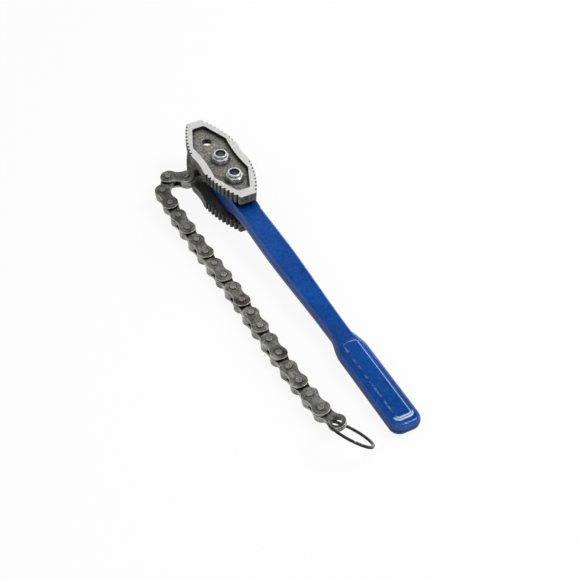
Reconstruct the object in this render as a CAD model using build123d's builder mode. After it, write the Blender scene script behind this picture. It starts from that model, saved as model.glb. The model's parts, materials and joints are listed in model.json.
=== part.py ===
# Chain wrench: a two-sided toothed jaw head on a forged handle, with a flat plate chain and a ring.
# It lies on a table as photographed. Millimetres, Z up, X runs from the jaws to the grip.
# The head and the handle are drawn level, round the centre bolt, and laid down at the end.
# The chain is drawn where it lies, link by link from the bolt.
import math
import os

from build123d import *

os.makedirs("parts", exist_ok=True)

# one overrun serves every cut
overrun = 2.0

# jaws
jaw_half_length = 51.9
jaw_tip_half_width = 6.9
jaw_waist_half_width = 19.6
jaw_shoulder_half_width = 20.5
jaw_shoulder_x = 9.4
jaw_flank_x = 15.4
jaw_flank_half_width = 20.4
jaw_flank_bulge_width = 2.0
jaw_thickness = 8.0
jaw_gap = 22.0
recess_depth = 3.0
recess_half_length = 43.6
recess_tip_half_width = 5.4
recess_shoulder_x = 20.7
recess_shoulder_half_width = 15.1
recess_waist_half_width = 13.6
recess_corner_radius = 2.5
tooth_pitch = 4.35
tooth_count = 9
tooth_depth = 1.7
tooth_root_width = 1.1
tooth_mouth_width = 2.9
tooth_tip_distance = 3.9
tip_line_height = 0.5
tip_line_depth = 0.4

# bolts and nuts
bolt_spacing = 26.0
bolt_radius = 4.0
bolt_hole_clearance = 0.25
bolt_head_height = 3.6
bolt_head_chamfer = 0.5
bolt_end_below_nut = 1.4
bolt_end_chamfer = 0.6
hex_across_flats = 13.0
nut_height = 7.6
nut_hex_height = 4.7
nut_collar_radius = 5.7
nut_pocket_wall = 0.8
nut_pocket_floor = 5.5
nut_lip_height = 0.5
nut_lip_radius = 4.3
nut_edge_radius = 0.8
centre_nut_angle = 27.0
rear_nut_angle = 17.0
nut_bevel_angle = 60.0

# handle
handle_draft_angle = 8.0
head_nose_radius = 9.0
head_block_half_width = 9.8
head_block_start = 13.0
head_block_end = 32.0
head_ramp_end = 43.0
head_tail_end = 56.0
head_tail_half_width = 8.6
slot_height = 13.5
slot_back = 5.0
anchor_room_radius = 9.6
bar_start = 36.0
bar_neck_x = 47.0
bar_neck_half_width = 9.3
bar_mid_x = 108.0
bar_mid_half_width = 9.9
bar_low_x = 160.0
bar_low_half_width = 8.6
bar_waist_x = 190.0
bar_waist_half_width = 8.0
bar_end = 230.0
bar_half_thickness = 6.25
bar_low_half_thickness = 5.7
bar_waist_half_thickness = 5.2
bar_edge_radius = 1.4
grip_start = 196.0
grip_start_half_width = 7.4
grip_flare_x = 224.0
grip_half_width = 12.4
grip_end = 301.5
grip_corner_radius = 8.5
grip_half_thickness = 5.15
grip_edge_radius = 3.6
panel_start = 215.5
panel_end = 293.0
panel_half_width = 5.9
panel_corner_radius = 2.6
panel_half_thickness = 6.0
tier_margin = 1.7
tier_half_thickness = 5.55
panel_edge_radius = 0.4

# chain
link_length = 15.875
plate_thickness = 2.0
plate_gap = 0.1
plate_side_clearance = 0.35
plate_end_radius = 6.7
plate_waist_half_width = 4.9
plate_edge_radius = 0.3
pin_radius = 2.55
pin_stand_out_length = 1.0
pin_dish_radius = 1.7
pin_dish_depth = 0.35
pin_edge_chamfer = 0.3
pin_clearance = 0.1
anchor_eye_radius = 8.0
anchor_bolt_clearance = 0.6
anchor_spacer_wall = 2.4
end_hole_radius = 3.85

# ring
ring_outer_radius = 18.5
ring_wire_radial = 2.1
ring_wire_axial = 2.0
ring_wire_corner = 0.45
ring_groove_width = 0.24
ring_groove_depth = 0.3
ring_end_gap = 0.9
ring_pull_length = -0.5

# where the chain lies: heading of each link from the bolt, and how far it drops along X and Y
link_headings = [-143.0, -88.5, -125.5, -42.5, -1.5, -0.5, 2.5, 1.5, 2.0, 1.0, 2.0, 0.5,
                 -0.5, -1.5, -1.0, -1.5, -1.0, -0.5, 0.0, 1.5, 2.0, 13.0]
fall_angles_along_x = [-1.8, -1.8, -2.6, -4.5, -6.0, -6.6, -6.3, -5.0, -3.2, -1.2, 0.0, 0.0,
                       0.0, 0.0, 0.0, 0.3, 0.3, 0.6, 1.2, 2.0, 3.0, 4.3]
fall_angles_along_y = [5.6, 7.9, 10.1, 9.0, 7.3, 5.2, 3.1, 1.4, 0.1, 0.0, 0.0, 0.0,
                       0.0, 0.0, 0.0, 0.0, 1.6, 3.4, 5.3, 7.2, 9.0, 10.7]
first_flat_link = 10
ring_heading_angle = 5.0
ring_tilt_angle = 41.0
ring_end_angles = [150.0, 196.0]

# derived sizes
gap_half = jaw_gap / 2
stack_half = gap_half + jaw_thickness
web = jaw_thickness - recess_depth
web_outer = gap_half + web
bolt_hole_radius = bolt_radius + bolt_hole_clearance
slot_half = slot_height / 2
inner_stack = 2 * plate_thickness + plate_gap
outer_inside = inner_stack / 2 + plate_side_clearance
outer_stack = 2 * (outer_inside + plate_thickness)
pin_length = outer_stack + 2 * pin_stand_out_length
pin_hole_radius = pin_radius + pin_clearance
anchor_hole_radius = bolt_radius + anchor_bolt_clearance

# the wrench rests on the lower jaw's tip and on the grip's panel
tilt_angle = math.degrees(math.atan((stack_half - panel_half_thickness) / (panel_end - jaw_half_length)))
tilt = math.radians(tilt_angle)
bolt_height = jaw_half_length * math.sin(tilt) + stack_half * math.cos(tilt)
wrench_place = Location((0, 0, bolt_height), (0, tilt_angle, 0))


def jaw_outline():
    """The jaw's outline, half length by half width, the same on its four quarters."""
    mid_x = (jaw_flank_x + jaw_half_length) / 2
    mid_y = (jaw_flank_half_width + jaw_tip_half_width) / 2
    run = math.hypot(jaw_half_length - jaw_flank_x, jaw_flank_half_width - jaw_tip_half_width)
    out_x = (jaw_flank_half_width - jaw_tip_half_width) / run * jaw_flank_bulge_width
    out_y = (jaw_half_length - jaw_flank_x) / run * jaw_flank_bulge_width
    waist_rise = (jaw_shoulder_half_width - jaw_waist_half_width) / 4
    top_x = (jaw_shoulder_x + jaw_flank_x) / 2
    with BuildLine() as quarter:
        ThreePointArc((0, jaw_waist_half_width),
                      (jaw_shoulder_x / 2, jaw_waist_half_width + waist_rise),
                      (jaw_shoulder_x, jaw_shoulder_half_width))
        ThreePointArc((jaw_shoulder_x, jaw_shoulder_half_width),
                      (top_x, jaw_shoulder_half_width),
                      (jaw_flank_x, jaw_flank_half_width))
        ThreePointArc((jaw_flank_x, jaw_flank_half_width),
                      (mid_x + out_x, mid_y + out_y),
                      (jaw_half_length, jaw_tip_half_width))
        Line((jaw_half_length, jaw_tip_half_width), (jaw_half_length, 0))
        mirror(about=Plane.YZ)
        mirror(about=Plane.XZ)
    return quarter


def recess_outline():
    """The recess's outline: wide over the bolts, narrow at the tips."""
    with BuildLine() as quarter:
        ThreePointArc((-recess_shoulder_x, recess_shoulder_half_width),
                      (0, recess_waist_half_width),
                      (recess_shoulder_x, recess_shoulder_half_width))
        Line((recess_shoulder_x, recess_shoulder_half_width),
             (recess_half_length, recess_tip_half_width))
        Line((-recess_shoulder_x, recess_shoulder_half_width),
             (-recess_half_length, recess_tip_half_width))
        Line((recess_half_length, recess_tip_half_width), (recess_half_length, 0))
        Line((-recess_half_length, recess_tip_half_width), (-recess_half_length, 0))
        mirror(about=Plane.XZ)
    return quarter


def tooth_places():
    """Middle and facing angle of each tooth groove on the flank with positive X and Y."""
    run_x = jaw_half_length - jaw_flank_x
    run_y = jaw_tip_half_width - jaw_flank_half_width
    run = math.hypot(run_x, run_y)
    facing = math.degrees(math.atan2(run_x, -run_y))
    places = []
    for number in range(tooth_count):
        share = 1 - (tooth_tip_distance + number * tooth_pitch) / run
        bulge = jaw_flank_bulge_width * 4 * share * (1 - share)
        x = jaw_flank_x + run_x * share + bulge * math.cos(math.radians(facing))
        y = jaw_flank_half_width + run_y * share + bulge * math.sin(math.radians(facing))
        places.append((x, y, facing))
    return places


def make_jaw(side):
    """One jaw. Side is 1 for the upper and -1 for the lower, whose recess looks down."""
    inner = side * gap_half
    outer = side * stack_half
    with BuildPart() as jaw:
        with BuildSketch(Plane.XY.offset(min(inner, outer))):
            add(jaw_outline())
            make_face()
            with Locations((0, 0), (bolt_spacing, 0), (-bolt_spacing, 0)):
                Circle(bolt_hole_radius, mode=Mode.SUBTRACT)
        extrude(amount=jaw_thickness)
        with BuildSketch(Plane.XY.offset(side * web_outer)) as floor:
            add(recess_outline())
            make_face()
            fillet(floor.vertices(), recess_corner_radius)
        extrude(amount=side * recess_depth, mode=Mode.SUBTRACT)
        # tooth grooves through the whole thickness of the four flanks
        with BuildSketch(Plane.XY.offset(min(inner, outer) - overrun)):
            for sign_x in (1, -1):
                for sign_y in (1, -1):
                    for x, y, facing in tooth_places():
                        turn = math.degrees(math.atan2(sign_y * math.sin(math.radians(facing)),
                                                       sign_x * math.cos(math.radians(facing))))
                        with Locations(Location((sign_x * x, sign_y * y, 0), (0, 0, turn))):
                            Polygon((-tooth_depth, -tooth_root_width / 2),
                                    (0, -tooth_mouth_width / 2),
                                    (overrun, -tooth_mouth_width / 2),
                                    (overrun, tooth_mouth_width / 2),
                                    (0, tooth_mouth_width / 2),
                                    (-tooth_depth, tooth_root_width / 2), align=None)
        extrude(amount=jaw_thickness + 2 * overrun, mode=Mode.SUBTRACT)
        # the fine line across each end face
        with BuildSketch(Plane.XY.offset(side * (gap_half + jaw_thickness / 2) - tip_line_height / 2)):
            for sign_x in (1, -1):
                with Locations((sign_x * jaw_half_length, 0)):
                    Rectangle(2 * tip_line_depth, 2 * (jaw_tip_half_width + overrun))
        extrude(amount=tip_line_height, mode=Mode.SUBTRACT)
    return jaw


def make_bolt(x):
    """A bolt from the lower recess up into its nut."""
    head_top = -web_outer
    end = web_outer + nut_height - bolt_end_below_nut
    with BuildPart() as bolt:
        with BuildSketch(Plane.XY.offset(head_top - bolt_head_height)):
            with Locations((x, 0)):
                RegularPolygon(hex_across_flats / 2, 6, major_radius=False)
        extrude(amount=bolt_head_height)
        chamfer(bolt.faces().sort_by(Axis.Z)[0].edges(), bolt_head_chamfer)
        with BuildSketch(Plane.XY.offset(head_top)):
            with Locations((x, 0)):
                Circle(bolt_radius)
        extrude(amount=end - head_top)
        chamfer(bolt.faces().sort_by(Axis.Z)[-1].edges(), bolt_end_chamfer)
    return bolt


def make_nut(x, turn):
    """A lock nut: a hexagon, a round collar above it and a pocket for the insert."""
    with BuildPart() as nut:
        with BuildSketch(Plane.XY.offset(web_outer)):
            with Locations((x, 0)):
                RegularPolygon(hex_across_flats / 2, 6, major_radius=False, rotation=turn)
        extrude(amount=nut_hex_height)
        # a cone rounds the hexagon's upper corners
        with BuildSketch(Plane.XY.offset(web_outer)):
            with Locations((x, 0)):
                Circle(hex_across_flats / 2 + nut_hex_height * math.tan(math.radians(nut_bevel_angle)))
        extrude(amount=nut_hex_height, taper=nut_bevel_angle, mode=Mode.INTERSECT)
        with BuildSketch(Plane.XY.offset(web_outer + nut_hex_height)):
            with Locations((x, 0)):
                Circle(nut_collar_radius)
        extrude(amount=nut_height - nut_hex_height)
        fillet(nut.faces().sort_by(Axis.Z)[-1].edges(), nut_edge_radius)
        with BuildSketch(Plane.XY.offset(web_outer)):
            with Locations((x, 0)):
                Circle(bolt_radius)
        extrude(amount=nut_pocket_floor, mode=Mode.SUBTRACT)
        with BuildSketch(Plane.XY.offset(web_outer + nut_pocket_floor)):
            with Locations((x, 0)):
                Circle(nut_collar_radius - nut_pocket_wall)
        extrude(amount=nut_height - nut_lip_height - nut_pocket_floor, mode=Mode.SUBTRACT)
        with BuildSketch(Plane.XY.offset(web_outer + nut_height - nut_lip_height)):
            with Locations((x, 0)):
                Circle(nut_lip_radius)
        extrude(amount=nut_lip_height + overrun, mode=Mode.SUBTRACT)
    return nut


def plate_outline():
    """A chain plate from pin to pin along X: round ends and a drawn-in waist."""
    half = link_length / 2
    bend = (half ** 2 + plate_waist_half_width ** 2 - plate_end_radius ** 2) \
        / (2 * (plate_end_radius - plate_waist_half_width))
    reach = plate_end_radius + bend
    touch_x = half * plate_end_radius / reach
    touch_y = (plate_waist_half_width + bend) * plate_end_radius / reach
    with BuildLine() as outline:
        ThreePointArc((touch_x, touch_y), (-plate_end_radius, 0), (touch_x, -touch_y))
        ThreePointArc((touch_x, -touch_y), (half, -plate_waist_half_width),
                      (link_length - touch_x, -touch_y))
        ThreePointArc((link_length - touch_x, -touch_y), (link_length + plate_end_radius, 0),
                      (link_length - touch_x, touch_y))
        ThreePointArc((link_length - touch_x, touch_y), (half, plate_waist_half_width),
                      (touch_x, touch_y))
    return outline


def make_plates(plane, inside, holes):
    """Two plates that lie the same distance above and below the link's middle plane."""
    with BuildPart() as pair:
        for low in (inside, -inside - plate_thickness):
            with BuildSketch(plane.offset(low)):
                add(plate_outline())
                make_face()
                with Locations((0, 0)):
                    Circle(holes[0], mode=Mode.SUBTRACT)
                with Locations((link_length, 0)):
                    Circle(holes[1], mode=Mode.SUBTRACT)
        extrude(amount=plate_thickness)
        rims = pair.edges().filter_by(
            lambda e: e.geom_type == GeomType.CIRCLE and e.radius > plate_waist_half_width)
        fillet(rims, plate_edge_radius)
    return pair


def make_pins(plane, places):
    """Riveted pins across the outer plates, each end dished."""
    with BuildPart() as pins:
        with BuildSketch(plane.offset(-pin_length / 2)):
            with Locations(*places):
                Circle(pin_radius)
        extrude(amount=pin_length)
        ends = pins.edges().filter_by(lambda e: e.geom_type == GeomType.CIRCLE)
        chamfer(ends, pin_edge_chamfer)
        for side in (1, -1):
            with BuildSketch(plane.offset(side * pin_length / 2)):
                with Locations(*places):
                    Circle(pin_dish_radius)
            extrude(amount=-side * pin_dish_depth, taper=45, mode=Mode.SUBTRACT)
    return pins


# the upper and the lower jaw
jaw_upper = make_jaw(1)
jaw_lower = make_jaw(-1)

# the handle: a forked head between the jaws, a long drafted bar and a wider grip
with BuildPart() as head:
    with BuildSketch(Plane.XY):
        with BuildLine():
            nose_y = head_nose_radius
            ThreePointArc((0, nose_y), (-head_nose_radius, 0), (0, -nose_y))
            Polyline((0, -nose_y), (head_block_start, -head_block_half_width),
                     (head_block_end, -head_block_half_width), (head_tail_end, -head_tail_half_width),
                     (head_tail_end, head_tail_half_width), (head_block_end, head_block_half_width),
                     (head_block_start, head_block_half_width), (0, nose_y))
        make_face()
    extrude(amount=gap_half, both=True)
    with BuildSketch(Plane.XZ):
        with BuildLine():
            Polyline((-head_nose_radius - overrun, -gap_half), (head_block_end, -gap_half),
                     (head_ramp_end, -bar_half_thickness), (head_tail_end, -bar_half_thickness),
                     (head_tail_end, bar_half_thickness), (head_ramp_end, bar_half_thickness),
                     (head_block_end, gap_half), (-head_nose_radius - overrun, gap_half),
                     close=True)
        make_face()
    extrude(amount=head_block_half_width + overrun, both=True, mode=Mode.INTERSECT)
    # the chain's anchor swings in this slot round the centre bolt
    with BuildSketch(Plane.XY.offset(-slot_half)):
        Circle(anchor_room_radius)
        with Locations(((slot_back - head_nose_radius - overrun) / 2, 0)):
            Rectangle(slot_back + head_nose_radius + overrun, 2 * (head_block_half_width + overrun))
    extrude(amount=slot_height, mode=Mode.SUBTRACT)
    with BuildSketch(Plane.XY.offset(-gap_half)):
        with Locations((0, 0), (bolt_spacing, 0)):
            Circle(bolt_hole_radius)
    extrude(amount=jaw_gap, mode=Mode.SUBTRACT)

with BuildPart() as bar:
    for level in (-bar_half_thickness, 0, bar_half_thickness):
        draft = abs(level) * math.tan(math.radians(handle_draft_angle))
        with BuildSketch(Plane.XY.offset(level)):
            with BuildLine():
                Spline((bar_start, bar_neck_half_width - draft), (bar_neck_x, bar_neck_half_width - draft),
                       (bar_mid_x, bar_mid_half_width - draft), (bar_low_x, bar_low_half_width - draft),
                       (bar_waist_x, bar_waist_half_width - draft), (bar_end, bar_waist_half_width - draft))
                Line((bar_end, bar_waist_half_width - draft), (bar_end, 0))
                Line((bar_start, bar_neck_half_width - draft), (bar_start, 0))
                mirror(about=Plane.XZ)
            make_face()
    loft(ruled=True)
    with BuildSketch(Plane.XZ):
        with BuildLine():
            Spline((bar_neck_x, bar_half_thickness), (bar_mid_x, bar_half_thickness),
                   (bar_low_x, bar_low_half_thickness), (bar_waist_x, bar_waist_half_thickness),
                   (bar_end, bar_waist_half_thickness), tangents=[(1, 0), (1, 0)])
            Line((bar_neck_x, bar_half_thickness), (bar_start, bar_half_thickness))
            Line((bar_start, bar_half_thickness), (bar_start, 0))
            Line((bar_end, bar_waist_half_thickness), (bar_end, 0))
            mirror(about=Plane.XZ)
        make_face()
    extrude(amount=bar_mid_half_width + overrun, both=True, mode=Mode.INTERSECT)
    long_edges = bar.edges().filter_by(
        lambda e: e.length > grip_half_width
        and abs(e.center().Z) > bar_waist_half_thickness / 2 and abs(e.center().Y) > bar_waist_half_width / 2)
    fillet(long_edges, bar_edge_radius)

with BuildPart() as grip:
    for level in (-grip_half_thickness, 0, grip_half_thickness):
        draft = abs(level) * math.tan(math.radians(handle_draft_angle))
        half = grip_half_width - draft
        neck = grip_start_half_width - draft
        end = grip_end - draft
        with BuildSketch(Plane.XY.offset(level)):
            with BuildLine():
                Spline((grip_start, neck), (grip_flare_x, half), tangents=[(1, 0), (1, 0)])
                Line((grip_flare_x, half), (grip_end - grip_corner_radius, half))
                TangentArc((grip_end - grip_corner_radius, half),
                           (end, half - grip_corner_radius), tangent=(1, 0))
                Line((end, half - grip_corner_radius), (end, 0))
                Line((grip_start, neck), (grip_start, 0))
                mirror(about=Plane.XZ)
            make_face()
    loft(ruled=True)
    top_edges = grip.edges().filter_by(
        lambda e: abs(abs(e.center().Z) - grip_half_thickness) < plate_gap
        and e.center().X > grip_start + overrun)
    fillet(top_edges, grip_edge_radius)

with BuildPart() as handle:
    add(head.part)
    add(bar.part)
    add(grip.part)
    # the raised panel on both faces of the grip, in two tiers
    for margin, height in ((tier_margin, tier_half_thickness), (0, panel_half_thickness)):
        with BuildSketch(Plane.XY.offset(-height)):
            with Locations(((panel_start + panel_end) / 2, 0)):
                RectangleRounded(panel_end - panel_start + 2 * margin, 2 * (panel_half_width + margin),
                                 panel_corner_radius + margin)
        extrude(amount=2 * height)
    panel_edges = handle.edges().filter_by(
        lambda e: abs(abs(e.center().Z) - panel_half_thickness) < plate_gap
        and e.center().X > panel_start - plate_gap)
    fillet(panel_edges, panel_edge_radius)
    panel_middle = (panel_start + panel_end) / 2
    tier_edges = handle.edges().filter_by(
        lambda e: abs(abs(e.center().Z) - tier_half_thickness) < plate_gap
        and e.center().X > grip_start
        and (abs(e.center().Y) > panel_half_width + plate_gap
             or abs(e.center().X - panel_middle) > (panel_end - panel_start) / 2 + plate_gap))
    fillet(tier_edges, (tier_half_thickness - grip_half_thickness) / 2)

centre_bolt = make_bolt(0)
rear_bolt = make_bolt(bolt_spacing)
centre_nut = make_nut(0, centre_nut_angle)
rear_nut = make_nut(bolt_spacing, rear_nut_angle)

with BuildPart() as nut_inserts:
    with BuildSketch(Plane.XY.offset(web_outer + nut_pocket_floor)):
        with Locations((0, 0), (bolt_spacing, 0)):
            Circle(nut_collar_radius - nut_pocket_wall)
            Circle(bolt_radius, mode=Mode.SUBTRACT)
    extrude(amount=nut_height - nut_lip_height - nut_pocket_floor)

wrench_pieces = {"jaw_upper": jaw_upper, "jaw_lower": jaw_lower, "handle": handle,
                 "centre_bolt": centre_bolt, "rear_bolt": rear_bolt,
                 "centre_nut": centre_nut, "rear_nut": rear_nut, "nut_inserts": nut_inserts}


def link_axes(number):
    """Heading and normal of a link, from its angles."""
    heading = math.radians(link_headings[number])
    fall_x = math.tan(math.radians(fall_angles_along_x[number]))
    fall_y = math.tan(math.radians(fall_angles_along_y[number]))
    along = Vector(math.cos(heading), math.sin(heading),
                   fall_x * math.cos(heading) + fall_y * math.sin(heading)).normalized()
    normal = Vector(-fall_x, -fall_y, 1).normalized()
    return along, normal


# the chain lies flat on its pin ends, and climbs from there to the bolt
flat_height = pin_length / 2
climb = sum(link_length * link_axes(number)[0].Z for number in range(first_flat_link))
link_planes = []
pin_points = []
point = Vector(0, 0, flat_height - climb)
point = point + Vector((point.Z - bolt_height) * math.tan(tilt), 0, 0)
anchor_point = point
for number in range(len(link_headings)):
    along, normal = link_axes(number)
    link_planes.append(Plane(origin=point, x_dir=along, z_dir=normal))
    point = point + along * link_length
    pin_points.append(point)
end_hole_point = point

chain_pieces = {}

# the anchor: two plates with a large eye for the centre bolt, a spacer between them and one pin
anchor_plane = link_planes[0]
with BuildPart() as anchor_plates:
    for low in (outer_inside, -outer_inside - plate_thickness):
        with BuildSketch(anchor_plane.offset(low)):
            Circle(anchor_eye_radius)
            with Locations((link_length, 0)):
                Circle(plate_end_radius)
            make_hull()
            Circle(anchor_hole_radius, mode=Mode.SUBTRACT)
            with Locations((link_length, 0)):
                Circle(pin_radius, mode=Mode.SUBTRACT)
    extrude(amount=plate_thickness)
chain_pieces["anchor_plates"] = anchor_plates

with BuildPart() as anchor_spacer:
    with BuildSketch(anchor_plane.offset(-outer_inside)):
        Circle(anchor_hole_radius + anchor_spacer_wall)
        Circle(anchor_hole_radius, mode=Mode.SUBTRACT)
    extrude(amount=2 * outer_inside)
chain_pieces["anchor_spacer"] = anchor_spacer
chain_pieces["anchor_pin"] = make_pins(anchor_plane, [(link_length, 0)])

# inner links and outer links by turns
for number in range(1, len(link_planes)):
    plane = link_planes[number]
    if number % 2 == 0:
        name = f"link_{number // 2:02d}"
        chain_pieces[name + "_plates"] = make_plates(plane, outer_inside, (pin_radius, pin_radius))
        chain_pieces[name + "_pins"] = make_pins(plane, [(0, 0), (link_length, 0)])
    elif number == len(link_planes) - 1:
        holes = (pin_hole_radius, end_hole_radius)
        chain_pieces[f"inner_{number // 2:02d}"] = make_plates(plane, plate_gap / 2, holes)
    else:
        holes = (pin_hole_radius, pin_hole_radius)
        chain_pieces[f"inner_{number // 2:02d}"] = make_plates(plane, plate_gap / 2, holes)

# the ring hangs in the end hole and leans with its low side on the table
ring_mid_radius = ring_outer_radius - ring_wire_radial / 2
end_along, end_normal = link_axes(len(link_headings) - 1)
wire_point = end_hole_point + end_along * ring_pull_length
ring_tilt = math.radians(ring_tilt_angle)
ring_rise = 0.0
for step in range(len(link_headings)):
    upright_part = math.cos(ring_rise) * math.cos(ring_tilt)
    drop = ring_outer_radius * math.sqrt(1 - upright_part ** 2) + ring_wire_axial / 2 * upright_part
    ring_rise = math.asin((drop - wire_point.Z) / ring_mid_radius)
ring_heading = math.radians(ring_heading_angle)
ring_along = Vector(math.cos(ring_heading) * math.cos(ring_rise),
                    math.sin(ring_heading) * math.cos(ring_rise), math.sin(ring_rise))
ring_side = Vector(-math.sin(ring_heading), math.cos(ring_heading), 0)
ring_up = ring_along.cross(ring_side)
ring_normal = (ring_up * math.cos(ring_tilt) + ring_side * math.sin(ring_tilt)).normalized()
ring_plane = Plane(origin=wire_point + ring_along * ring_mid_radius, x_dir=ring_along * -1, z_dir=ring_normal)
with BuildPart() as split_ring:
    with BuildSketch(Plane.XZ):
        with Locations((ring_mid_radius, 0)):
            RectangleRounded(ring_wire_radial, ring_wire_axial, ring_wire_corner)
        for side in (-1, 1):
            with Locations((ring_mid_radius + side * ring_wire_radial / 2, 0)):
                Rectangle(2 * ring_groove_depth, ring_groove_width, mode=Mode.SUBTRACT)
    revolve(axis=Axis.Z)
    # the wire's two ends, one seen from above and one from below
    for end_angle, low in zip(ring_end_angles, (0, -ring_wire_axial / 2 - overrun)):
        turn = math.radians(end_angle)
        spot = (ring_mid_radius * math.cos(turn), ring_mid_radius * math.sin(turn))
        with BuildSketch(Plane.XY.offset(low)):
            with Locations(Location((spot[0], spot[1], 0), (0, 0, end_angle))):
                Rectangle(ring_wire_radial + 2 * ring_groove_depth, ring_end_gap)
        extrude(amount=ring_wire_axial / 2 + overrun, mode=Mode.SUBTRACT)

# everything in place, then moved so that the part stands centred over its origin
placed = {}
for name, piece in wrench_pieces.items():
    placed[name] = piece.part.moved(wrench_place)
for name, piece in chain_pieces.items():
    placed[name] = piece.part
placed["split_ring"] = split_ring.part.moved(ring_plane.location)

boxes = [piece.bounding_box() for piece in placed.values()]
low_x, low_y, low_z = (min(getattr(box.min, axis) for box in boxes) for axis in "XYZ")
high_x, high_y = (max(getattr(box.max, axis) for box in boxes) for axis in "XY")
centring = Vector(-(low_x + high_x) / 2, -(low_y + high_y) / 2, -low_z)
for name, piece in placed.items():
    solid = piece.moved(Location(centring))
    solid.label = name
    export_step(solid, f"parts/{name}.step")
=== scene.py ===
# Looks of the chain wrench: materials for its CAD nodes, floor, room, lamps and camera.
import json

import bpy
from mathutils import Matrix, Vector

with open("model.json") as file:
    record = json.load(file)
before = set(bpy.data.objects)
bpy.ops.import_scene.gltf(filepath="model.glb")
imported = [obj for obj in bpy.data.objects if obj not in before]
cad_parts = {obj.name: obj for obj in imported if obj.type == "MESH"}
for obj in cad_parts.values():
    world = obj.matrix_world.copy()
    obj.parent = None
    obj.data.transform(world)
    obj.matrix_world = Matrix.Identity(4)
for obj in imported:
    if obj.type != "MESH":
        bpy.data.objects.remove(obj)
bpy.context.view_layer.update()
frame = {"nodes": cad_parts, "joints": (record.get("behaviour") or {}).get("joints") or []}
nodes = frame["nodes"]
scene = bpy.context.scene
MM = 0.001


# the wrench's own axes, which lean out of level, and its middle between the jaws

def reach(name, direction):
    """The lowest and the highest place of a node along a direction, in metres."""
    places = [direction.dot(vertex.co) for vertex in nodes[name].data.vertices]
    return min(places), max(places)


hinge = next(joint for joint in frame["joints"] if joint["name"] == "anchor_swing")
CENTRE_BOLT = Vector(hinge["pos_m"])
UP = -Vector(hinge["axis"]).normalized()
ALONG = Vector((UP.z, 0.0, -UP.x))
ACROSS = Vector((0.0, 1.0, 0.0))
MIDDLE_LEVEL = (reach("jaw_lower", UP)[0] + reach("jaw_upper", UP)[1]) / 2

# distances from the middle, up or down, between which the recess's floor and the rim begin
RECESS_FLOOR = (15.0 * MM, 15.4 * MM)
RIM = (18.2 * MM, 18.6 * MM)
# half sizes of an ellipse that lies between the jaws' recess and their teeth
WALL_HALF = (46.0 * MM, 17.0 * MM)
# the grip's raised panel: its middle from the centre bolt, half sizes, corner and level of its top
PANEL_MIDDLE = 254.25 * MM
PANEL_HALF = (38.75 * MM, 5.9 * MM)
PANEL_CORNER = 2.6 * MM
PANEL_TOP = (4.4 * MM, 5.0 * MM)
# how far the panel's lower tier stands out round it
TIER_MARGIN = 1.7 * MM
# where the painted highlight at the end of the panel begins and is full, from the panel's middle
PANEL_END = (36.0 * MM, 38.0 * MM)


# materials are small node graphs, built by these helpers

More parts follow.
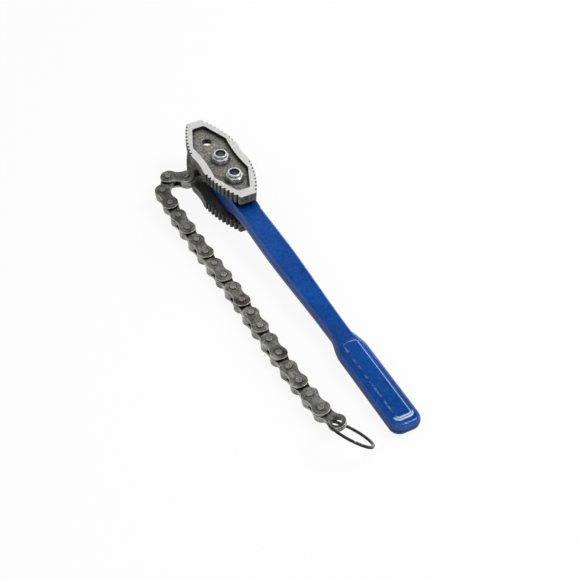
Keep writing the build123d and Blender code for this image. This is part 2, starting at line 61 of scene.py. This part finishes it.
class Graph:
    """A material with a few shorthands for its nodes; lengths are in metres."""

    def __init__(self, name):
        self.material = bpy.data.materials.new(name)
        self.material.use_nodes = True
        self.nodes = self.material.node_tree.nodes
        self.links = self.material.node_tree.links
        self.shader = self.nodes["Principled BSDF"]
        self.place = self.node("ShaderNodeTexCoord").outputs["Object"]

    def node(self, kind, **values):
        made = self.nodes.new(kind)
        for key, value in values.items():
            setattr(made, key, value)
        return made

    def feed(self, socket, value):
        """Links a socket, or sets it where the value is a number, a colour or a vector."""
        if isinstance(value, tuple) and socket.type == "RGBA":
            socket.default_value = (*value, 1.0)
        elif isinstance(value, (int, float, tuple)):
            socket.default_value = value
        else:
            self.links.new(value, socket)

    def noise(self, per_metre, detail=4.0, rough=0.55, stretch=None):
        """Soft random patches, so many to the metre."""
        made = self.node("ShaderNodeTexNoise")
        source = self.place
        if stretch:
            mapping = self.node("ShaderNodeMapping")
            self.feed(mapping.inputs["Scale"], stretch)
            self.feed(mapping.inputs["Vector"], source)
            source = mapping.outputs["Vector"]
        for name, value in (("Vector", source), ("Scale", per_metre),
                            ("Detail", detail), ("Roughness", rough)):
            self.feed(made.inputs[name], value)
        return made.outputs["Fac"]

    def ramp(self, source, start, full, low=0.0, high=1.0):
        """Goes from low to high as the source goes from start to full, and stays there beyond."""
        made = self.node("ShaderNodeMapRange")
        for name, value in (("Value", source), ("From Min", start), ("From Max", full),
                            ("To Min", low), ("To Max", high)):
            self.feed(made.inputs[name], value)
        return made.outputs["Result"]

    def math(self, operation, *values):
        made = self.node("ShaderNodeMath", operation=operation)
        for socket, value in zip(made.inputs, values):
            self.feed(socket, value)
        return made.outputs["Value"]

    def times(self, first, second):
        return self.math("MULTIPLY", first, second)

    def minus(self, first, second):
        return self.math("SUBTRACT", first, second)

    def larger(self, first, second):
        return self.math("MAXIMUM", first, second)

    def absolute(self, value):
        return self.math("ABSOLUTE", value)

    def squared(self, value):
        return self.math("POWER", value, 2.0)

    def dot(self, source, direction):
        made = self.node("ShaderNodeVectorMath", operation="DOT_PRODUCT")
        self.feed(made.inputs[0], source)
        self.feed(made.inputs[1], tuple(direction))
        return made.outputs["Value"]

    def mix(self, factor, first, second):
        """A colour between the first, at factor 0, and the second, at factor 1."""
        made = self.node("ShaderNodeMix", data_type="RGBA")
        self.feed(next(s for s in made.inputs if s.name == "Factor" and s.type == "VALUE"), factor)
        for name, value in (("A", first), ("B", second)):
            self.feed(next(s for s in made.inputs if s.name == name and s.type == "RGBA"), value)
        return next(s for s in made.outputs if s.type == "RGBA")

    def mix_value(self, factor, first, second):
        """A number between the first, at factor 0, and the second, at factor 1."""
        made = self.node("ShaderNodeMix", data_type="FLOAT")
        for socket, value in zip(made.inputs[:1] + made.inputs[2:4], (factor, first, second)):
            self.feed(socket, value)
        return made.outputs[0]

    def lay(self, tone, colour, over, start, full, strength=1.0):
        """Lays a colour on the tone as the source goes from start to full."""
        return self.mix(self.ramp(over, start, full, 0.0, strength), tone, colour)

    def shade(self, tone, within, start, full, darkest):
        """Paints shade into the tone: darker in gaps and corners narrower than a distance, down to the
        darkest factor.
        """
        open_sky = self.node("ShaderNodeAmbientOcclusion", samples=8)
        self.feed(open_sky.inputs["Distance"], within)
        factor = self.ramp(open_sky.outputs["AO"], start, full, darkest, 1.0)
        return self.mix(factor, (0.0, 0.0, 0.0), tone)

    def bump(self, height, strength, depth, rounding):
        """Fine relief, on sharp edges that look rounded to a radius."""
        rounded = self.node("ShaderNodeBevel", samples=6)
        self.feed(rounded.inputs["Radius"], rounding)
        made = self.node("ShaderNodeBump")
        for name, value in (("Strength", strength), ("Distance", depth), ("Height", height),
                            ("Normal", rounded.outputs["Normal"])):
            self.feed(made.inputs[name], value)
        return made.outputs["Normal"]

    def finish(self, **sockets):
        """Feeds the shader; a socket's name has _ for each space."""
        for name, value in sockets.items():
            self.feed(self.shader.inputs[name.replace("_", " ")], value)
        return self.material


def off_middle(graph):
    """Distance from the wrench's middle plane, up or down."""
    return graph.absolute(graph.minus(graph.dot(graph.place, UP), MIDDLE_LEVEL))


def from_bolt(graph):
    """Places along and across the wrench from the centre bolt."""
    return [graph.minus(graph.dot(graph.place, way), way.dot(CENTRE_BOLT)) for way in (ALONG, ACROSS)]


def squareness(graph):
    """How squarely a face looks along the bolts, either way, from 0 to 1."""
    geometry = graph.node("ShaderNodeNewGeometry")
    return graph.absolute(graph.dot(geometry.outputs["True Normal"], UP))


def facing_up(graph):
    """How far a surface looks up, from -1 to 1."""
    geometry = graph.node("ShaderNodeNewGeometry")
    return graph.dot(geometry.outputs["Normal"], (0.0, 0.0, 1.0))


def worn_steel(name, colour, dark, roughness, grain, relief, metallic,
               slope_light_and_shade=None, shade_reach=None, rounding=0.3 * MM):
    """Steel with fine grain and soft dark patches; gaps get painted shade, and faces that half look up get a
    painted tone, lighter for a highlight, darker for shade.
    """
    graph = Graph(name)
    fine = graph.noise(grain, detail=3.0)
    tone = graph.lay(colour, dark, graph.noise(90.0, detail=5.0), start=0.38, full=0.66)
    tone = graph.lay(tone, dark, fine, start=0.45, full=0.65, strength=0.7)
    # painted light and shade on faces that half look up: a painted highlight on the chain's plates, painted
    # shade on its pins
    if slope_light_and_shade:
        up = facing_up(graph)
        turning = graph.times(graph.ramp(up, start=0.10, full=0.30), graph.ramp(up, start=0.93, full=0.85))
        tone = graph.mix(turning, tone, slope_light_and_shade)
    # painted shade in gaps and corners
    if shade_reach:
        tone = graph.shade(tone, within=shade_reach, start=0.50, full=0.98, darkest=0.10)
    rough = graph.ramp(graph.noise(260.0), start=0.35, full=0.65,
                       low=roughness - 0.08, high=roughness + 0.10)
    return graph.finish(Base_Color=tone, Metallic=metallic, Roughness=rough,
                        Normal=graph.bump(fine, strength=relief, depth=0.4 * MM, rounding=rounding))


# the jaws, and the tones of their cast, scaled and ground surfaces, with painted glints and painted wall
# shade

CAST_BROWN = (0.25, 0.24, 0.21)
CAST_DARK = (0.17, 0.16, 0.14)
CAST_PIT = (0.06, 0.057, 0.05)
# pale specks on the cast, painted glints
CAST_PAINTED_GLINT = (0.52, 0.51, 0.47)
SCALE_DARK = (0.06, 0.057, 0.053)
SCALE_PALE = (0.13, 0.125, 0.115)
# pale specks on the scale, painted glints
SCALE_PAINTED_GLINT = (0.28, 0.27, 0.25)
# painted shade on the recess walls, near black
PAINTED_WALL_SHADE = (0.012, 0.011, 0.010)
GROUND_PALE = (0.80, 0.80, 0.78)
GROUND_STREAK = (0.64, 0.64, 0.62)
GROUND_SPECK = (0.45, 0.45, 0.43)


def jaw_material():
    """Ground bright on the rims, cast and brown in the recess, scale-dark on the toothed sides, with painted
    shade and painted glints.
    """
    graph = Graph("jaw_steel")
    height = off_middle(graph)
    level = graph.ramp(squareness(graph), start=0.90, full=0.97)
    high = graph.ramp(height, *RIM)
    raised = graph.ramp(height, *RECESS_FLOOR)
    rim = graph.times(high, level)
    recess = graph.times(graph.times(raised, graph.minus(1.0, high)), level)
    cast = graph.noise(560.0, detail=6.0, rough=0.75)
    blotch = graph.noise(70.0)
    ground = graph.noise(240.0, rough=0.6, stretch=(1.0, 6.0, 1.0))
    side = toothed_side(graph, blotch, cast)
    # painted shade: the recess walls near black
    side = graph.mix(graph.times(inside_wall(graph), raised), side, PAINTED_WALL_SHADE)
    tone = graph.mix(recess, side, recess_web(graph, blotch, cast))
    tone = graph.mix(rim, tone, ground_rim(graph, ground))
    relief = graph.mix_value(rim, cast, ground)
    return graph.finish(Base_Color=tone, Metallic=graph.mix_value(rim, 0.30, 0.25),
                        Roughness=graph.mix_value(rim, 0.50, 0.40),
                        Normal=graph.bump(relief, strength=0.5, depth=0.3 * MM, rounding=0.4 * MM))


def recess_web(graph, blotch, cast):
    """The cast floor of a recess: brown, with dark pits, pale painted glints, and painted shade along its
    walls.
    """
    tone = graph.lay(CAST_BROWN, CAST_DARK, blotch, start=0.35, full=0.70)
    tone = graph.lay(tone, CAST_PIT, cast, start=0.49, full=0.40, strength=0.8)
    tone = graph.lay(tone, CAST_PAINTED_GLINT, cast, start=0.51, full=0.60, strength=0.8)
    # painted shade along the recess walls and in its corners
    return graph.shade(tone, within=4.0 * MM, start=0.52, full=0.95, darkest=0.08)


def toothed_side(graph, blotch, cast):
    """Dark scale with pale painted glints, and painted shade in the teeth's grooves and between the jaws."""
    tone = graph.lay(SCALE_DARK, SCALE_PALE, blotch, start=0.40, full=0.65)
    tone = graph.lay(tone, SCALE_PAINTED_GLINT, cast, start=0.52, full=0.68, strength=0.6)
    # painted shade in the teeth's grooves, then between the jaws
    tone = graph.shade(tone, within=2.2 * MM, start=0.45, full=0.95, darkest=0.12)
    return graph.shade(tone, within=30.0 * MM, start=0.15, full=0.70, darkest=0.10)


def ground_rim(graph, ground):
    """Ground steel with soft streaks and a few dark specks."""
    tone = graph.lay(GROUND_PALE, GROUND_STREAK, ground, start=0.35, full=0.70)
    speck = graph.noise(900.0, detail=3.0, rough=0.6)
    return graph.lay(tone, GROUND_SPECK, speck, start=0.60, full=0.72, strength=0.5)


def inside_wall(graph):
    """1 inside the ellipse that holds the recess walls, 0 outside it, where the teeth are."""
    squares = [graph.squared(graph.math("DIVIDE", graph.absolute(place), half))
               for place, half in zip(from_bolt(graph), WALL_HALF)]
    return graph.ramp(graph.math("ADD", *squares), start=1.02, full=0.98)


# the handle, the tones of its enamel, its painted seam shadow and its painted highlights

BLUE = (0.001, 0.074, 0.35)
BLUE_CLOUD = (0.003, 0.050, 0.25)
BLUE_DARK = (0.001, 0.030, 0.17)
BLUE_PALE = (0.03, 0.14, 0.48)
# painted shadow along the parting seam
PAINTED_SEAM_SHADOW = (0.001, 0.006, 0.03)
NICK_PALE = (0.25, 0.42, 0.62)
# painted highlights along the panel's edges
GLEAM_PALE = (0.36, 0.56, 0.78)
GLEAM_WHITE = (0.68, 0.82, 0.92)


def enamel_material():
    """Glossy blue enamel with a faint orange peel, nicks, a groove with painted shadow where the dies met,
    painted shade near the jaws, and painted highlights on the panel's edges.
    """
    graph = Graph("blue_enamel")
    height = off_middle(graph)
    upright = graph.ramp(squareness(graph), start=0.45, full=0.25)
    seam = graph.times(graph.ramp(height, start=1.2 * MM, full=0.5 * MM), upright)
    mottle = graph.noise(330.0, detail=5.0, rough=0.7)
    cloud = graph.noise(22.0, detail=3.0)
    tone = graph.lay(BLUE, BLUE_CLOUD, cloud, start=0.35, full=0.65)
    tone = graph.lay(tone, BLUE_DARK, mottle, start=0.50, full=0.38, strength=0.5)
    tone = graph.lay(tone, BLUE_PALE, mottle, start=0.56, full=0.72, strength=0.5)
    # painted shadow along the seam
    tone = graph.lay(tone, PAINTED_SEAM_SHADOW, seam, start=0.0, full=1.0, strength=0.95)
    nick = graph.noise(1100.0, detail=2.0)
    tone = graph.lay(tone, NICK_PALE, nick, start=0.71, full=0.76, strength=0.6)
    # painted shade near the jaws and in corners
    tone = graph.shade(tone, within=20.0 * MM, start=0.3, full=0.9, darkest=0.12)
    # painted highlights along the panel's edges
    gleam, gleam_tone = painted_panel_gleam(graph, height)
    tone = graph.lay(tone, gleam_tone, gleam, start=0.0, full=1.0, strength=0.8)
    gloss = graph.ramp(graph.noise(130.0, detail=3.0), start=0.35, full=0.65, low=0.18, high=0.26)
    dull_side = 0.6
    peel_height = 0.3
    seam_depth = 2.0
    peel = graph.noise(420.0, detail=2.0)
    relief = graph.minus(graph.times(peel, peel_height), graph.times(seam, seam_depth))
    return graph.finish(Base_Color=tone, Metallic=0.0, Roughness=graph.mix_value(upright, gloss, dull_side),
                        Normal=graph.bump(relief, strength=0.06, depth=0.4 * MM, rounding=0.8 * MM),
                        Coat_Weight=0.1, Coat_Roughness=0.1, Specular_IOR_Level=0.32)


def painted_panel_gleam(graph, height):
    """Painted highlights along the panel's edges, strongest at the grip's end, and their tone."""
    along, across = from_bolt(graph)
    along = graph.minus(along, PANEL_MIDDLE)
    outward = panel_distance(graph, along, across)
    inner = graph.ramp(graph.absolute(outward), start=0.7 * MM, full=0.2 * MM)
    outer = graph.ramp(graph.absolute(graph.minus(outward, TIER_MARGIN)), start=0.9 * MM, full=0.3 * MM)
    end = graph.ramp(along, *PANEL_END)
    patches = graph.ramp(graph.noise(300.0, detail=3.0), start=0.45, full=0.60)
    patchy_share = 0.6
    whole_side = graph.ramp(across, start=-3.0 * MM, full=3.0 * MM)
    sides = graph.mix_value(whole_side, graph.times(patches, patchy_share), 1.0)
    gleam = graph.larger(graph.times(inner, graph.larger(sides, end)), graph.times(outer, end))
    gleam = graph.times(gleam, graph.ramp(height, *PANEL_TOP))
    return gleam, graph.mix(end, GLEAM_PALE, GLEAM_WHITE)


def panel_distance(graph, along, across):
    """Distance outward from the panel's outline, a rectangle with round corners; negative inside."""
    beyond = [graph.minus(graph.absolute(place), half - PANEL_CORNER)
              for place, half in zip((along, across), PANEL_HALF)]
    squares = [graph.squared(graph.larger(place, 0.0)) for place in beyond]
    outside = graph.math("SQRT", graph.math("ADD", *squares))
    inside = graph.math("MINIMUM", graph.larger(*beyond), 0.0)
    return graph.minus(graph.math("ADD", outside, inside), PANEL_CORNER)


# nuts, bolts, chain and ring

ZINC = (0.52, 0.55, 0.55)
ZINC_DULL = (0.34, 0.36, 0.37)
# painted highlight on flats that look up
ZINC_PAINTED_TOP_LIGHT = (0.88, 0.89, 0.88)


def zinc_material():
    """Bright zinc: a painted highlight makes the flats that look up pale, and painted shade darkens gaps;
    the facets round them are darker zinc.
    """
    graph = Graph("zinc_plate")
    # painted highlight on flats that look up
    up = graph.ramp(facing_up(graph), start=0.90, full=0.985)
    fine = graph.noise(500.0, detail=3.0)
    tone = graph.lay(ZINC, ZINC_DULL, fine, start=0.4, full=0.7)
    # painted shade in gaps and corners
    tone = graph.shade(tone, within=4.0 * MM, start=0.25, full=0.8, darkest=0.25)
    tone = graph.mix(up, tone, ZINC_PAINTED_TOP_LIGHT)
    return graph.finish(Base_Color=tone, Metallic=graph.mix_value(up, 0.8, 0.25), Roughness=0.26,
                        Normal=graph.bump(fine, strength=0.05, depth=0.4 * MM, rounding=0.3 * MM))


# bolts: painted shade in gaps
bolt_steel = worn_steel("bolt_steel", (0.13, 0.15, 0.16), (0.06, 0.07, 0.075), roughness=0.42,
                        grain=700.0, relief=0.10, metallic=0.5, shade_reach=4.0 * MM)
nylon = worn_steel("insert_nylon", (0.03, 0.035, 0.045), (0.02, 0.02, 0.025), roughness=0.50,
                   grain=600.0, relief=0.05, metallic=0.0)
# chain plates: a painted highlight on faces that half look up, and painted shade in gaps
plate = worn_steel("chain_plate", (0.38, 0.375, 0.345), (0.06, 0.058, 0.052), roughness=0.34,
                   grain=480.0, relief=0.35, metallic=0.55, slope_light_and_shade=(0.75, 0.74, 0.71), shade_reach=5.0 * MM)
# chain pins: painted shade on faces that half look up and in gaps
pin = worn_steel("chain_pin", (0.62, 0.61, 0.58), (0.25, 0.245, 0.23), roughness=0.26,
                 grain=600.0, relief=0.12, metallic=0.6, slope_light_and_shade=(0.22, 0.215, 0.20), shade_reach=3.0 * MM)
ring = worn_steel("ring_steel", (0.055, 0.055, 0.055), (0.012, 0.012, 0.012), roughness=0.16,
                  grain=800.0, relief=0.05, metallic=0.7, rounding=0.5 * MM)

chain_plates = [n for n in nodes if n.endswith("_plates") or n.startswith("inner_") or n == "anchor_spacer"]
chain_pins = [n for n in nodes if n.endswith("_pins") or n == "anchor_pin"]
finishes = (
    (jaw_material(), ["jaw_upper", "jaw_lower"]),
    (enamel_material(), ["handle"]),
    (zinc_material(), ["centre_nut", "rear_nut"]),
    (bolt_steel, ["centre_bolt", "rear_bolt"]),
    (nylon, ["nut_inserts"]),
    (plate, chain_plates),
    (pin, chain_pins),
    (ring, ["split_ring"]),
)
for material, names in finishes:
    for name in names:
        for slot in nodes[name].material_slots:
            slot.material = material


# the studio: floor, room, lamps and camera

FLOOR_SIZE = 30.0
FLOOR_LEVEL = -0.3 * MM
PAPER_WHITE = (0.90, 0.90, 0.90)
# how much of the floor the camera and reflections see as plain white, the rest as paper with a shadow
WHITE_SHARE = 0.9
# the room's light by height, from 0 at the horizon to 1 overhead: pale low down, dark higher, pale overhead
ROOM_BANDS = ((0.45, 1.0), (0.58, 0.5), (0.70, 0.35), (0.78, 0.02), (0.87, 0.02), (0.95, 0.9))
# each lamp's place and size, in metres, and its power, in watts
LAMPS = {
    "key": ((0.3, 0.6, 1.0), (0.4, 0.4), 6.5),
    "back": ((-0.9, 1.0, 0.6), (0.5, 0.3), 2.5),
    "fill": ((0.6, -0.7, 0.8), (0.5, 0.5), 1.0),
}
# the photograph's camera: its place, the way it looks, and its lens for a sensor 36 mm wide
CAMERA_PLACE = (0.66146, -0.33821, 0.7002)
CAMERA_LOOKS = (-0.644, 0.344, -0.684)
CAMERA_LENS = 81.29
CAMERA_SENSOR = 36.0
CAMERA_REACH = 20.0


def floor_material():
    """White to the camera and in reflections, with a soft shadow; what turns below it stays in sight."""
    paper = Graph("floor_paper")
    paper.finish(Base_Color=PAPER_WHITE, Metallic=0.0, Roughness=0.9)
    path = paper.node("ShaderNodeLightPath")
    mirrored = paper.larger(path.outputs["Is Glossy Ray"], path.outputs["Is Transmission Ray"])
    glow = paper.node("ShaderNodeEmission")
    paper.feed(glow.inputs["Strength"], 1.0)
    clear = paper.node("ShaderNodeBsdfTransparent")
    surface = paper.shader.outputs["BSDF"]
    for ray, seen in ((mirrored, glow), (path.outputs["Is Camera Ray"], clear)):
        blend = paper.node("ShaderNodeMixShader")
        for socket, value in zip(blend.inputs, (paper.times(ray, WHITE_SHARE), surface, seen.outputs[0])):
            paper.feed(socket, value)
        surface = blend.outputs["Shader"]
    paper.feed(paper.nodes["Material Output"].inputs["Surface"], surface)
    return paper.material


bpy.ops.mesh.primitive_plane_add(size=FLOOR_SIZE, location=(0.0, 0.0, FLOOR_LEVEL))
floor = bpy.context.object
floor.name = "floor"
floor.data.materials.append(floor_material())


def studio_room():
    """A world that changes with height only, so that the lamps shape the gloss."""
    world = bpy.data.worlds.new("studio")
    world.use_nodes = True
    tree = world.node_tree
    background = tree.nodes["Background"]
    background.inputs["Strength"].default_value = 1.0
    direction = tree.nodes.new("ShaderNodeTexCoord")
    split = tree.nodes.new("ShaderNodeSeparateXYZ")
    bands = tree.nodes.new("ShaderNodeValToRGB")
    tree.links.new(direction.outputs["Generated"], split.inputs["Vector"])
    tree.links.new(split.outputs["Z"], bands.inputs["Fac"])
    tree.links.new(bands.outputs["Color"], background.inputs["Color"])
    stops = bands.color_ramp.elements
    stops[0].position = ROOM_BANDS[0][0]
    stops[1].position = ROOM_BANDS[-1][0]
    for height, _ in ROOM_BANDS[1:-1]:
        stops.new(height)
    for stop, (_, shade) in zip(stops, ROOM_BANDS):
        stop.color = (shade, shade, shade, 1.0)
    return world


def aim(name, data, place, looks):
    """Puts a lamp or a camera in the scene, looking one way."""
    made = bpy.data.objects.new(name, data)
    scene.collection.objects.link(made)
    made.location = place
    made.rotation_euler = Vector(looks).to_track_quat("-Z", "Y").to_euler()
    return made


def lamp(name, place, size, power):
    """A rectangular lamp that looks at the wrench."""
    data = bpy.data.lights.new(name, "AREA")
    data.shape = "RECTANGLE"
    data.size, data.size_y = size
    data.energy = power
    aim(name, data, place, -Vector(place))


def photo_camera():
    data = bpy.data.cameras.new("camera")
    data.sensor_width = CAMERA_SENSOR
    data.lens = CAMERA_LENS
    data.clip_end = CAMERA_REACH
    return aim("camera", data, CAMERA_PLACE, CAMERA_LOOKS)


scene.world = studio_room()
for name, (place, size, power) in LAMPS.items():
    lamp(name, place, size, power)
scene.camera = photo_camera()
scene.view_settings.view_transform = "Standard"
